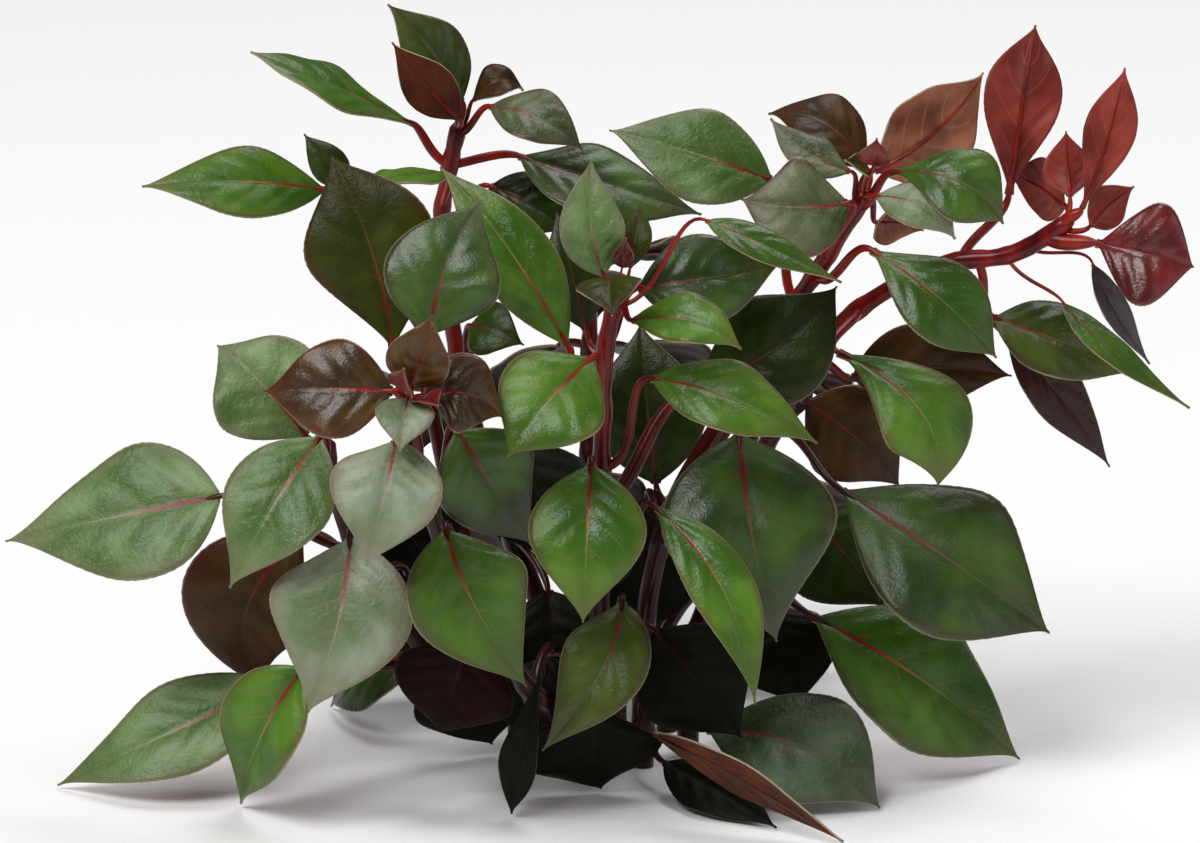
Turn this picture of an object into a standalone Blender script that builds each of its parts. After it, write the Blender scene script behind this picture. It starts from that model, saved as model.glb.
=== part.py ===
"""A bushy bunch of Ludwigia repens shoots, cut level at the bottom and standing on a surface.

Metres, +Z up, the front towards -Y. The bunch is nine red stems, each ending in a rosette of young leaves that
grow out of it, and the grown leaves, each a stalk and a blade of its own. Places are written as the front view
of the bunch shows them: picture column, picture row, and millimetres behind the middle of the bunch.
"""

import math
from collections import namedtuple

import bmesh
import bpy
from mathutils import Vector

MM = 0.001

# The front view: its real width, its tilt, and where its middle lies
VIEW_WIDTH = 0.180
VIEW_COLUMNS, VIEW_ROWS = 1200, 843
VIEW_TILT = math.radians(15)
VIEW_DISTANCE = 0.70
VIEW_CENTRE = Vector((0.0005, 0, 0.0533))
PIXEL = VIEW_WIDTH / VIEW_COLUMNS
VIEW_UP = Vector((0, math.sin(VIEW_TILT), math.cos(VIEW_TILT)))
VIEW_BACK = Vector((0, -math.cos(VIEW_TILT), math.sin(VIEW_TILT)))
EYE = VIEW_CENTRE + VIEW_BACK * VIEW_DISTANCE
FLOOR = "floor"
TIP_ABOVE_FLOOR = 0.5 * MM

# Stems
STEM_RADIUS_LOW = 1.7 * MM
STEM_RADIUS_TOP = 1.1 * MM
STEM_STRAIGHT_FOOT = 5 * MM
STRAIGHT_SHARE = 0.03
STEM_POINTS = 11
STEM_SIDES_RESOLUTION = 1

# Leaves; a row is a share of the blade's or the stalk's length, and a bud is a young leaf under BUD_WIDTH mm wide
BLADE_THICKNESS = 0.5 * MM
STALK_THICKNESS = 1.1 * MM
STALK_HALF_WIDTH = 0.75 * MM
TIP_HALF_WIDTH = 0.2 * MM
STALK_GAP = 0.6 * MM
STALK_RISE = 0.45
WIDEST_AT = 0.43
OUTLINE_POWER = 1.12
HALVES = 2
GROWN_ROWS = (0, 0.16, 0.4, 0.72, 1)
JOINED_ROWS = (0, 0.25, 0.6, 1)
BUD_ROWS = (0, 0.45, 1)
BUD_WIDTH = 6.6
GROWN_STALK_ROWS = (0, 0.5)
JOINED_STALK_ROWS = (0,)

Leaf = namedtuple("Leaf", "at neck tip width face arch fold colour via wide stout")


def leaf(
    at, neck, tip, width, face=(0, -0.85, 0.5), arch=2.5, fold=10, colour="green", via=None, wide=WIDEST_AT, stout=1
):
    """at is the share of the stem below the leaf; neck is where the stalk widens into the blade; width and arch
    are in millimetres; face is where the upper side looks; fold lifts both halves, in degrees; via is the picture
    column and row that the midrib's middle passes; wide is the share of the blade's length at which it is widest;
    stout makes the stalk broader."""
    return Leaf(at, neck, tip, width, face, arch, fold, colour, via, wide, stout)


# Each stem: where it is cut on the surface, in millimetres, and the places it passes on its way up
STEMS = {
    "left": ((-12, 2), [(462, 690, -3), (395, 610, -12), (350, 535, -21), (331, 475, -25), (326, 440, -27)]),
    "front_left": ((-7, -5), [(530, 690, -19), (468, 600, -31), (434, 520, -38), (414, 450, -43), (408, 396, -47)]),
    "centre": ((0, -4), [(599, 650, -14), (601, 540, -25), (602, 440, -28), (606, 345, -31), (619, 288, -32)]),
    "top_left": (
        (-5, 8),
        [(545, 620, 13), (490, 480, 18), (455, 340, 21), (441, 230, 22), (450, 165, 21), (460, 122, 20)],
    ),
    "right": (
        (7, -3),
        [(648, 600, -6), (676, 500, -5), (722, 420, -4), (785, 318, -8), (826, 258, -13), (868, 190, -17)],
    ),
    "far_right": (
        (14, 3),
        [
            (680, 690, 4),
            (712, 590, 7),
            (752, 480, 9),
            (800, 378, 7),
            (850, 316, 3),
            (940, 265, -2),
            (1012, 254, -5),
            (1072, 220, -8),
        ],
    ),
    "back": ((3, 13), [(598, 640, 22), (592, 520, 28), (588, 420, 33), (590, 330, 35), (590, 262, 36)]),
    "back_left": ((-11, 15), [(520, 660, 25), (478, 580, 32), (452, 500, 38), (436, 430, 41), (428, 385, 42)]),
    "back_right": ((11, 14), [(655, 650, 23), (700, 570, 30), (735, 490, 36), (756, 420, 38), (768, 360, 38)]),
}

# Grown leaves, stem by stem
LEAVES = {
    "left": [
        leaf(0.97, (320, 437, -33), (229, 588, -41), 16.5, (-0.25, -0.9, 0.35), 3, 10, "green", (272, 508)),
        leaf(0.97, (306, 436, -21), (217, 345, -16), 17.5, (-0.1, -0.85, 0.5), 2, 10, "green", (259, 381)),
        leaf(0.72, (220, 496, -24), (5, 541, -18), 21.5, (-0.05, -0.8, 0.6), 1.5, 8, "green", (114, 517), 0.36),
        leaf(0.72, (350, 538, -36), (308, 713, -42), 21, (-0.05, -0.87, 0.45), 3, 8, "green", (338, 622)),
        leaf(0.58, (303, 538, -7), (264, 690, -5), 22, (-0.3, -0.9, 0.1), 2, 6, "olive", (246, 612), 0.45),
        leaf(0.36, (275, 684, -13), (57, 785, FLOOR), 15.4, (-0.1, -0.75, 0.65), 4, 10, "green", (160, 737), 0.38),
        leaf(0.47, (303, 668, -30), (240, 804, FLOOR), 16.5, (-0.5, -0.8, 0.3), 3, 22, "green", (261, 736), 0.4),
        leaf(0.2, (430, 650, 12), (330, 706, FLOOR), 15, (-0.2, -0.6, 0.75), 3, 10, "dark"),
    ],
    "front_left": [
        leaf(0.9, (430, 335, -43), (482, 200, -36), 17, (-0.05, -0.95, 0.3), 3, 8, "dark", (446, 266)),
        leaf(0.9, (396, 440, -50), (366, 566, -56), 16.5, (-0.1, -0.85, 0.5), 3, 12, "green", (384, 497)),
        leaf(0.77, (457, 430, -38), (532, 545, -33), 16, (0.15, -0.87, 0.45), 3, 8, "dark", (492, 484)),
        leaf(0.77, (393, 350, -35), (331, 156, -29), 19, (0, -1, 0), 2, 6, "olive", (372, 252), 0.55),
        leaf(0.6, (446, 530, -45), (527, 687, -49), 18, (0.1, -0.87, 0.48), 3, 8, "green", (474, 604)),
        leaf(0.3, (470, 640, -22), (440, 733, -18), 19, (-0.1, -0.95, 0.2), 2, 8, "maroon"),
    ],
    "centre": [
        leaf(0.9, (638, 288, -25), (781, 264, -19), 14, (0.1, -0.85, 0.5), 3, 8, "dark", (711, 277)),
        leaf(0.97, (706, 220, -33), (842, 282, -35), 6, (0.2, -0.7, 0.7), 2, 10, "green", (767, 246)),
        leaf(0.78, (567, 345, -29), (440, 167, -20), 11.5, (0.1, -0.9, 0.4), 2, 10, "green", (508, 248)),
        leaf(0.78, (591, 358, -38), (507, 457, -47), 16.5, (-0.1, -0.87, 0.48), 2, 6, "green", (546, 404)),
        leaf(0.68, (652, 378, -33), (818, 443, -39), 11.5, (0.1, -0.75, 0.65), 3, 10, "green", (735, 399)),
        leaf(0.6, (690, 392, -17), (837, 286, -15), 17, (0.1, -0.88, 0.45), 3, 6, "dark", (774, 349), 0.5, 1.6),
        leaf(0.58, (591, 464, -36), (583, 623, -45), 17, (0, -0.87, 0.5), 3, 8, "green"),
        leaf(0.45, (657, 508, -34), (755, 705, -45), 9.6, (0.2, -0.87, 0.4), 3, 10, "green", (727, 597)),
        leaf(0.33, (622, 602, -29), (542, 751, -37), 13, (-0.1, -0.92, 0.35), 3, 12, "olive", (600, 672)),
        leaf(0.26, (543, 668, -28), (511, 814, FLOOR), 6.4, (-0.4, -0.9, 0.1), 2, 14, "dark", (521, 750), 0.6),
        leaf(0.28, (655, 630, -18), (742, 738, -23), 18.5, (0.1, -0.95, 0.2), 2, 6, "dark"),
        leaf(0.19, (592, 704, -18), (601, 789, FLOOR), 21, (0, -0.95, 0.3), 1, 4, "dark", (594, 752), 0.52),
    ],
    "top_left": [
        leaf(0.93, (412, 123, 20), (251, 51, 10), 12, (0.1, -0.35, 0.9), 3, 10, "green", (333, 85), 0.52),
        leaf(0.93, (520, 156, 22), (702, 214, 22), 14, (0.1, -0.6, 0.75), 4, 8, "dark", (608, 184)),
        leaf(0.72, (325, 190, 10), (142, 186, 4), 12.8, (0, -0.7, 0.7), 2, 8, "green", (241, 181), 0.45),
        leaf(0.72, (490, 186, 28), (572, 232, 26), 11, (0.1, -0.8, 0.5), 2, 10, "dark"),
    ],
    "right": [
        leaf(0.96, (874, 170, -10), (982, 73, -2), 14.5, (-0.1, 0.95, 0.25), 2, 6, "bronze", (937, 129)),
        leaf(0.88, (849, 203, -21), (741, 199, -23), 15, (-0.1, -0.88, 0.45), 3, 8, "olive", (793, 207)),
        leaf(0.78, (772, 180, -7), (609, 130, -6), 14.6, (0, -0.85, 0.5), 2, 8, "green", (694, 153)),
        leaf(0.84, (872, 250, -21), (997, 358, -27), 13, (0.1, -0.8, 0.6), 3, 8, "green", (942, 300), 0.52),
        leaf(0.36, (739, 434, -22), (777, 642, -33), 26, (0.05, -0.87, 0.48), 4, 8, "dark", (752, 534)),
        leaf(0.05, (664, 762, -14), (776, 827, FLOOR), 10, (0.1, -0.75, 0.65), 1, 10, "dark"),
        leaf(0.14, (654, 733, -26), (844, 841, FLOOR), 7, (0.1, 0.85, 0.5), 2, 8, "bronze", (748, 782)),
    ],
    "far_right": [
        leaf(0.84, (1009, 194, 3), (1035, 26, 9), 12, (0.05, 0.9, 0.3), 2, 10, "red", (1022, 103), 0.55),
        leaf(0.9, (1063, 302, -12), (1190, 408, -18), 5, (0.3, -0.7, 0.6), 2, 12, "green", (1111, 349)),
        leaf(0.93, (1093, 264, -3), (1150, 364, 0), 4.6, (0.3, -0.9, 0.2), 2, 20, "maroon", (1117, 313)),
        leaf(0.86, (994, 317, -1), (1143, 373, 3), 12.5, (0.1, -0.75, 0.6), 3, 8, "dark", (1063, 342)),
        leaf(0.78, (1008, 338, 10), (1110, 467, 14), 9, (0.2, -0.85, 0.4), 2, 8, "maroon", (1062, 398)),
        leaf(0.58, (852, 378, 8), (1012, 376, 10), 14, (0, -0.9, 0.2), 2, 8, "bronze", (930, 368)),
        leaf(0.68, (838, 352, -9), (938, 487, -17), 15, (0.1, -0.8, 0.6), 3, 8, "green", (921, 411), 0.56),
        leaf(0.5, (806, 402, 16), (900, 487, 20), 16, (0.1, -0.9, 0.2), 2, 6, "bronze", (858, 440)),
        leaf(0.47, (842, 490, -4), (1050, 633, -12), 25, (0.15, -0.8, 0.55), 4, 8, "dark", (950, 560), 0.5),
        leaf(0.4, (806, 510, 10), (888, 608, 6), 19, (0.1, -0.9, 0.3), 2, 8, "dark"),
        leaf(0.28, (814, 617, -8), (1020, 759, FLOOR), 22.5, (0.15, -0.75, 0.65), 4, 8, "dark", (924, 681), 0.48),
        leaf(0.16, (708, 730, -9), (880, 808, FLOOR), 20, (0.15, -0.75, 0.65), 4, 10, "dark", (806, 748), 0.47),
    ],
}

# Leaves that grow out of their stem: the young ones round its tip, and those of the inside and the back
JOINED = {
    "left": [
        leaf(0.99, (330, 430, -26), (352, 398, -22), 5, colour="olive"),
        leaf(0.6, (408, 575, -8), (424, 660, -3), 15, (0.1, -0.9, 0.3), 2, colour="maroon"),
        leaf(0.75, (386, 478, 2), (424, 590, 8), 19, (0, -0.95, 0.3), 2, colour="dark"),
        leaf(0.3, (462, 650, 0), (492, 745, 2), 20, (0, -0.95, 0.3), 2, colour="dark"),
    ],
    "front_left": [
        leaf(0.25, (550, 655, -5), (534, 752, -6), 15, (0, -0.95, 0.3), 2, colour="dark"),
        leaf(0.99, (393, 391, -48), (264, 391, -44), 14.5, (-0.1, -0.9, 0.4), 2, 10, "olive", None, 0.42),
        leaf(0.99, (427, 396, -48), (504, 418, -46), 12, (0.1, -0.85, 0.5), 2, 10, "olive", (468, 394)),
        leaf(0.99, (411, 388, -50), (432, 315, -52), 9.4, (0, -0.95, 0.3), 1.5, 16, "olive"),
        leaf(0.99, (408, 398, -51), (400, 452, -58), 8.6, (0, -0.85, 0.5), 1.5, 16, "green"),
        leaf(0.99, (407, 391, -52), (403, 369, -58), 5, (-0.3, -0.9, 0.3), 0.6, 24, "red"),
        leaf(0.98, (420, 400, -50), (438, 405, -57), 5, (0.2, -0.8, 0.5), 0.6, 24, "red"),
    ],
    "centre": [
        leaf(0.99, (604, 276, -33), (592, 157, -30), 9.6, (0.1, -0.95, 0.3), 1.5, 14, "green", (591, 222)),
        leaf(0.99, (632, 320, -35), (742, 349, -42), 8.6, (0.1, -0.75, 0.65), 2, 16, "green", (693, 321)),
        leaf(0.99, (609, 279, -36), (612, 315, -46), 9.6, (-0.1, -0.6, 0.8), 1.5, 14, "olive"),
        leaf(0.99, (630, 268, -31), (641, 204, -26), 5, (0, -0.9, 0.4), 1, 14, "olive"),
        leaf(0.99, (622, 268, -33), (626, 238, -35), 3.5, (0, -0.9, 0.4), 0.5, 24, "red"),
        leaf(0.85, (586, 330, -14), (556, 212, -10), 9, (0, -0.95, 0.3), 2, colour="dark"),
    ],
    "top_left": [
        leaf(0.99, (462, 102, 18), (388, 4, 16), 11.5, (0.3, -0.8, 0.5), 1.5, 14, "olive", (432, 52)),
        leaf(0.98, (490, 106, 17), (583, 150, 12), 10, (0.15, -0.7, 0.7), 2, 12, "olive", (540, 118)),
        leaf(0.99, (473, 100, 20), (524, 90, 22), 6.5, (0.1, -0.6, 0.8), 2, 20, "bronze", (501, 80)),
        leaf(0.86, (446, 172, 14), (350, 182, 2), 8, (-0.1, -0.25, 0.95), 3, 10, "green", (404, 176)),
        leaf(0.58, (470, 325, 14), (524, 345, 8), 9, (0.1, -0.9, 0.4), 2, colour="dark"),
        leaf(0.32, (548, 590, 6), (560, 706, 2), 19, (0.05, -0.9, 0.3), 2, colour="dark"),
        leaf(0.99, (458, 118, 15), (392, 42, 10), 8, (-0.2, 0.9, 0.3), 1, 10, "bronze", (426, 84)),
        leaf(0.62, (350, 188, 27), (304, 134, 29), 6, (-0.2, -0.9, 0.3), 1, colour="dark"),
        leaf(0.48, (520, 440, 14), (560, 566, 10), 19, (0, -0.95, 0.3), 2, colour="dark"),
    ],
    "right": [
        leaf(0.37, (647, 498, 4), (636, 640, 6), 20, (0, -0.9, 0.4), 3, colour="dark"),
        leaf(0.4, (656, 484, 4), (640, 322, 10), 18, (-0.1, -0.9, 0.4), 2, colour="dark"),
        leaf(0.99, (866, 168, -12), (768, 113, -8), 13, (0.1, -0.5, 0.85), 2, 10, "bronze", (824, 122)),
        leaf(0.99, (876, 196, -22), (956, 239, -28), 8.5, (0.1, -0.75, 0.65), 2, 12, "green", (922, 206)),
        leaf(0.99, (876, 222, -12), (923, 230, -6), 8, (0, 0.9, 0.2), 1, 8, "bronze"),
        leaf(0.97, (892, 172, -20), (1004, 224, -24), 12.5, (0.05, -0.75, 0.65), 4, 8, "green", (960, 181), 0.56),
        leaf(0.99, (868, 172, -19), (846, 160, -24), 4, (0, -0.8, 0.6), 0.5, 24, "olive"),
        leaf(0.99, (873, 166, -22), (877, 138, -24), 5, (0, -0.8, 0.6), 1, 16, "red"),
        leaf(0.97, (850, 171, -18), (771, 118, -14), 7, (0.1, -0.7, 0.7), 1.5, 12, "olive", (806, 151)),
    ],
    "far_right": [
        leaf(0.99, (1082, 208, -9), (1125, 68, -6), 7.8, (0.2, 0.85, 0.4), 1, 10, "red", (1107, 141), 0.58, 1.6),
        leaf(0.96, (1096, 243, -10), (1194, 267, -14), 16, (0.1, -0.93, 0.3), 1.5, 14, "red", (1146, 254), 0.55, 1.8),
        leaf(0.97, (1066, 206, 1), (1008, 172, 10), 10.5, (0, 0.9, 0.3), 1, 10, "red"),
        leaf(0.99, (1070, 197, -4), (1066, 131, -1), 7.5, (0, 0.9, 0.3), 1, 10, "red"),
        leaf(0.98, (1090, 226, -8), (1134, 186, -5), 7.5, (0.2, 0.85, 0.4), 1, 10, "red"),
        leaf(0.3, (770, 610, 12), (800, 706, 8), 18, (0.1, -0.9, 0.4), 2, colour="dark"),
    ],
    "back": [
        leaf(0.99, (570, 262, 38), (480, 262, 46), 14, (-0.1, 0.5, 0.85), 2, 12, "olive"),
        leaf(0.99, (612, 262, 38), (700, 262, 46), 14, (0.1, 0.5, 0.85), 2, 12, "olive"),
        leaf(0.99, (590, 272, 42), (596, 320, 56), 14, (0, 0.7, 0.7), 2, 12, "olive"),
        leaf(0.82, (560, 344, 40), (508, 424, 54), 14, (-0.3, 0.65, 0.7), 3),
        leaf(0.82, (622, 344, 40), (712, 400, 53), 17, (0.3, 0.65, 0.7), 3, 10, "green"),
        leaf(0.6, (592, 470, 41), (600, 560, 55), 17, (0, 0.7, 0.7), 3, 10, "green"),
        leaf(0.3, (600, 610, 33), (602, 672, FLOOR), 18, (0, 0.7, 0.7), 3, colour="dark"),
    ],
    "back_left": [
        leaf(0.99, (410, 386, 44), (335, 392, 50), 14, (-0.3, 0.55, 0.75), 2, 12, "green"),
        leaf(0.99, (450, 382, 44), (502, 342, 50), 11, (0.2, 0.6, 0.75), 2, 12, "olive"),
        leaf(0.99, (430, 400, 47), (420, 452, 58.5), 14, (0, 0.7, 0.7), 2, 12, "olive"),
        leaf(0.7, (425, 500, 40), (345, 560, 49), 17, (-0.4, 0.6, 0.7), 3, 10, "green"),
        leaf(0.7, (470, 512, 42), (520, 590, 55), 17, (0.2, 0.7, 0.7), 3, 10, "green"),
        leaf(0.4, (450, 620, 34), (378, 670, FLOOR), 17, (-0.3, 0.6, 0.7), 3, colour="dark"),
    ],
    "back_right": [
        leaf(0.99, (788, 368, 41), (846, 416, 51), 13, (0.3, 0.6, 0.75), 2, 12, "green"),
        leaf(0.99, (748, 356, 40), (690, 332, 47), 12, (-0.2, 0.6, 0.75), 2, 12, "olive"),
        leaf(0.99, (768, 378, 43), (776, 440, 57.5), 14, (0, 0.7, 0.7), 2, 12, "green"),
        leaf(0.7, (770, 480, 40), (848, 540, 49), 17, (0.4, 0.6, 0.7), 3, 10, "green"),
        leaf(0.7, (722, 482, 41), (690, 570, 54), 16, (-0.2, 0.7, 0.7), 3, 10, "dark"),
        leaf(0.4, (735, 600, 32), (812, 670, FLOOR), 17, (0.3, 0.6, 0.7), 3, colour="dark"),
    ],
}

# Colour and roughness of each finish
FINISHES = {
    "stem": ((0.30, 0.03, 0.03), 0.35),
    "green": ((0.10, 0.22, 0.05), 0.4),
    "dark": ((0.05, 0.10, 0.03), 0.4),
    "olive": ((0.13, 0.09, 0.03), 0.4),
    "maroon": ((0.10, 0.02, 0.015), 0.45),
    "bronze": ((0.24, 0.09, 0.05), 0.5),
    "red": ((0.36, 0.06, 0.05), 0.4),
}


def place(column, row, depth):
    """The point that the front view shows at a column and row, either on the floor or depth mm behind the middle."""
    across = (column - VIEW_COLUMNS / 2) * PIXEL
    up = (VIEW_ROWS / 2 - row) * PIXEL
    ray = Vector((across, 0, 0)) + VIEW_UP * up - VIEW_BACK * VIEW_DISTANCE
    if depth == FLOOR:
        return EYE + ray * ((TIP_ABOVE_FLOOR - EYE.z) / ray.z)
    return EYE + ray * ((depth * MM - EYE.y) / ray.y)


def stem_path(name):
    """Points from the cut end to the tip, and how far along the stem each lies: a smooth curve read evenly."""
    (x, y), places = STEMS[name]
    foot = Vector((x, y, 0)) * MM
    knots = [foot, foot + Vector((0, 0, STEM_STRAIGHT_FOOT))] + [place(*p) for p in places]
    return knots


def along(knots, share):
    """The point and direction at a share of a smooth curve through the knots."""
    lengths = [0]
    for a, b in zip(knots, knots[1:]):
        lengths.append(lengths[-1] + (b - a).length)
    target = min(max(share, 0), 1) * lengths[-1]
    i = max(k for k in range(len(knots) - 1) if lengths[k] <= target)
    span = lengths[i + 1] - lengths[i]
    t = (target - lengths[i]) / span

    def slope(k):
        if k < 2:
            return Vector((0, 0, 1))
        if k == len(knots) - 1:
            return (knots[k] - knots[k - 1]) / (lengths[k] - lengths[k - 1])
        return (knots[k + 1] - knots[k - 1]) / (lengths[k + 1] - lengths[k - 1])

    a, b, u, v = knots[i], knots[i + 1], slope(i) * span, slope(i + 1) * span
    point = a * (2 * t**3 - 3 * t**2 + 1) + u * (t**3 - 2 * t**2 + t) + b * (3 * t**2 - 2 * t**3) + v * (t**3 - t**2)
    way = a * (6 * t**2 - 6 * t) + u * (3 * t**2 - 4 * t + 1) + b * (6 * t - 6 * t**2) + v * (3 * t**2 - 2 * t)
    return point, way.normalized()


def stem_radius(share):
    return STEM_RADIUS_LOW + (STEM_RADIUS_TOP - STEM_RADIUS_LOW) * share


def outline(s, wide):
    """The blade's width at a share of its length, from 0 at the neck through 1 to 0 at the tip."""
    power = math.log(0.5) / math.log(wide)
    return math.sin(math.pi * s**power) ** OUTLINE_POWER if 0 < s < 1 else 0


def bend(a, b, c, d, s):
    """The point and direction at a share s of the curve that leaves a towards b and comes to d from c."""
    point = a * (1 - s) ** 3 + b * (3 * s * (1 - s) ** 2) + c * (3 * s**2 * (1 - s)) + d * s**3
    way = (b - a) * (1 - s) ** 2 + (c - b) * (2 * s * (1 - s)) + (d - c) * s**2
    return point, way.normalized()


def leaf_sections(knots, spec, blade_rows, stalk_rows, inside):
    """Centre, sideways direction, upward direction, half width and thickness share, from the stem to the tip."""
    axis, way = along(knots, spec.at)
    neck, tip = place(*spec.neck), place(*spec.tip)
    face = Vector(spec.face).normalized()
    chord = tip - neck
    face = (face - chord * face.dot(chord) / chord.length_squared).normalized()
    middle = (neck + tip) / 2
    if spec.via:
        passed = place(*spec.via, middle.y / MM - spec.arch)
    else:
        passed = middle + face * spec.arch * MM
    corner = passed * 2 - middle
    first, second = neck.lerp(corner, 2 / 3), tip.lerp(corner, 2 / 3)
    out = neck - axis
    out = (out - way * out.dot(way)).normalized()
    start = axis if inside else axis + out * (stem_radius(spec.at) + STALK_GAP)
    reach = (neck - start).length / 3
    leaving, arriving = start + (out + way * STALK_RISE) * reach, neck - (first - neck).normalized() * reach
    stalk_half = STALK_HALF_WIDTH * spec.stout
    sections = []
    for s in blade_rows:
        centre, tangent = bend(neck, first, second, tip, s)
        side = face.cross(tangent).normalized()
        half = max(spec.width * MM / 2 * outline(s, spec.wide), stalk_half * (1 - s), TIP_HALF_WIDTH)
        sections.append((centre, side, tangent.cross(side), half, BLADE_THICKNESS / STALK_THICKNESS))
    side = sections[0][1]
    for s in reversed(stalk_rows):
        centre, tangent = bend(start, leaving, arriving, neck, s)
        side = (side - tangent * side.dot(tangent)).normalized()
        sections.insert(0, (centre, side, tangent.cross(side), stalk_half, 1))
    return sections


def leaf_object(name, knots, spec, collection, young=False):
    """A leaf is a grid with a row for each section, laid along its midrib and given its thickness."""
    blade_rows, stalk_rows = (JOINED_ROWS, JOINED_STALK_ROWS) if young else (GROWN_ROWS, GROWN_STALK_ROWS)
    if young and spec.width < BUD_WIDTH:
        blade_rows = BUD_ROWS
    sections = leaf_sections(knots, spec, blade_rows, stalk_rows, young)
    mesh = bpy.data.meshes.new(name)
    grid = bmesh.new()
    bmesh.ops.create_grid(grid, x_segments=len(sections) - 1, y_segments=HALVES, size=1)
    lift = math.radians(spec.fold)
    shares = {}
    for vertex in grid.verts:
        row = round((vertex.co.x + 1) / 2 * (len(sections) - 1))
        centre, side, up, half, share = sections[row]
        across = vertex.co.y
        vertex.co = centre + (side * (across * math.cos(lift)) + up * (abs(across) * math.sin(lift))) * half
        shares[vertex.index] = share
    grid.to_mesh(mesh)
    grid.free()
    item = bpy.data.objects.new(name, mesh)
    collection.objects.link(item)
    thick = item.vertex_groups.new(name="thickness")
    for index, share in shares.items():
        thick.add([index], share, "REPLACE")
    shell = item.modifiers.new("Solidify", "SOLIDIFY")
    shell.thickness = STALK_THICKNESS
    shell.offset = 0
    shell.vertex_group = thick.name
    mesh.shade_smooth()
    mesh.materials.append(finish(spec.colour))
    return item


def stem_object(name, knots, collection):
    """A stem is a round tube along its curve, cut level at the foot, with its young leaves joined to its tip."""
    curve = bpy.data.curves.new(name, "CURVE")
    curve.dimensions = "3D"
    curve.bevel_depth = 1
    curve.bevel_resolution = STEM_SIDES_RESOLUTION
    curve.use_fill_caps = True
    spline = curve.splines.new("POLY")
    shares = [0, STRAIGHT_SHARE] + [k / (STEM_POINTS - 2) for k in range(1, STEM_POINTS - 1)]
    spline.points.add(len(shares) - 1)
    for point, share in zip(spline.points, shares):
        point.co = (*along(knots, share)[0], 1)
        point.radius = stem_radius(share)
    guide = bpy.data.objects.new(name + "_guide", curve)
    collection.objects.link(guide)
    bpy.context.view_layer.update()
    solid = bpy.data.meshes.new_from_object(guide.evaluated_get(bpy.context.evaluated_depsgraph_get()))
    bpy.data.objects.remove(guide)
    welded = bmesh.new()
    welded.from_mesh(solid)
    bmesh.ops.remove_doubles(welded, verts=welded.verts, dist=0.00001)
    bmesh.ops.recalc_face_normals(welded, faces=welded.faces)
    welded.to_mesh(solid)
    welded.free()
    item = bpy.data.objects.new("stem_" + name, solid)
    collection.objects.link(item)
    solid.shade_smooth()
    solid.materials.append(finish("stem"))
    return item


def join_young_leaves(stem, name, knots, helpers):
    """Each young leaf starts inside the stem's tip and is joined to it."""
    for number, spec in enumerate(JOINED.get(name, ()), 1):
        young = leaf_object(f"young_{name}_{number}", knots, spec, helpers, young=True)
        young.hide_render = True
        young.display_type = "WIRE"
        union = stem.modifiers.new(f"Young {number}", "BOOLEAN")
        union.operation = "UNION"
        union.object = young


def finish(name):
    """The plain material of a finish, made once."""
    if name in bpy.data.materials:
        return bpy.data.materials[name]
    colour, roughness = FINISHES[name]
    material = bpy.data.materials.new(name)
    material.use_nodes = True
    shader = material.node_tree.nodes["Principled BSDF"]
    shader.inputs["Base Color"].default_value = (*colour, 1)
    shader.inputs["Roughness"].default_value = roughness
    shader.inputs["Metallic"].default_value = 0
    return material


def build():
    for item in list(bpy.data.objects):
        bpy.data.objects.remove(item)
    plant = bpy.data.collections.new("Ludwigia repens")
    helpers = bpy.data.collections.new("Young leaves before joining")
    for collection in (plant, helpers):
        bpy.context.scene.collection.children.link(collection)
    for name in STEMS:
        knots = stem_path(name)
        stem = stem_object(name, knots, plant)
        join_young_leaves(stem, name, knots, helpers)
        for number, spec in enumerate(LEAVES.get(name, ()), 1):
            leaf_object(f"leaf_{name}_{number}", knots, spec, plant)


build()
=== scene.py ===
import math
import random
from collections import namedtuple

import bpy
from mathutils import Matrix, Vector


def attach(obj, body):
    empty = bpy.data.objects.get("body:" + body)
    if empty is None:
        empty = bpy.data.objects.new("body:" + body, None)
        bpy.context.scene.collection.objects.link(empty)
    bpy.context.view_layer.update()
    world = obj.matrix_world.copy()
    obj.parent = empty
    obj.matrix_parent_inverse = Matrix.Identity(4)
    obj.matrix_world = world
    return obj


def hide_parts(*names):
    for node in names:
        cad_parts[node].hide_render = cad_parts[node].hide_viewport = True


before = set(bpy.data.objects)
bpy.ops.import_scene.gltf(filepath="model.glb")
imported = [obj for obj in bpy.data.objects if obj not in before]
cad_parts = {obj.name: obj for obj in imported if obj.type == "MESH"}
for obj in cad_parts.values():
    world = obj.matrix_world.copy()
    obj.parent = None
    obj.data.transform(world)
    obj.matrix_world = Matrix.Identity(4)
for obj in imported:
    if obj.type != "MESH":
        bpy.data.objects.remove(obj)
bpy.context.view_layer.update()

# A bushy bunch of Ludwigia repens shoots, standing on the level cut ends of its stems. Metres, +Z up, front at -Y.

MM = 0.001

# The front view: its real width, its columns and rows, its tilt, and where its middle lies
VIEW_WIDTH = 0.180
VIEW_COLUMNS, VIEW_ROWS = 1200, 843
VIEW_TILT = math.radians(15)
VIEW_DISTANCE = 0.70
VIEW_CENTRE = Vector((0.0005, 0, 0.0533))
SENSOR_WIDTH = 36
PIXEL = VIEW_WIDTH / VIEW_COLUMNS
VIEW_UP = Vector((0, math.sin(VIEW_TILT), math.cos(VIEW_TILT)))
VIEW_BACK = Vector((0, -math.cos(VIEW_TILT), math.sin(VIEW_TILT)))
EYE = VIEW_CENTRE + VIEW_BACK * VIEW_DISTANCE
FLOOR = "floor"
TIP_ABOVE_FLOOR = 0.5 * MM
PAPER_BELOW_CUTS = 0.2 * MM

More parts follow.
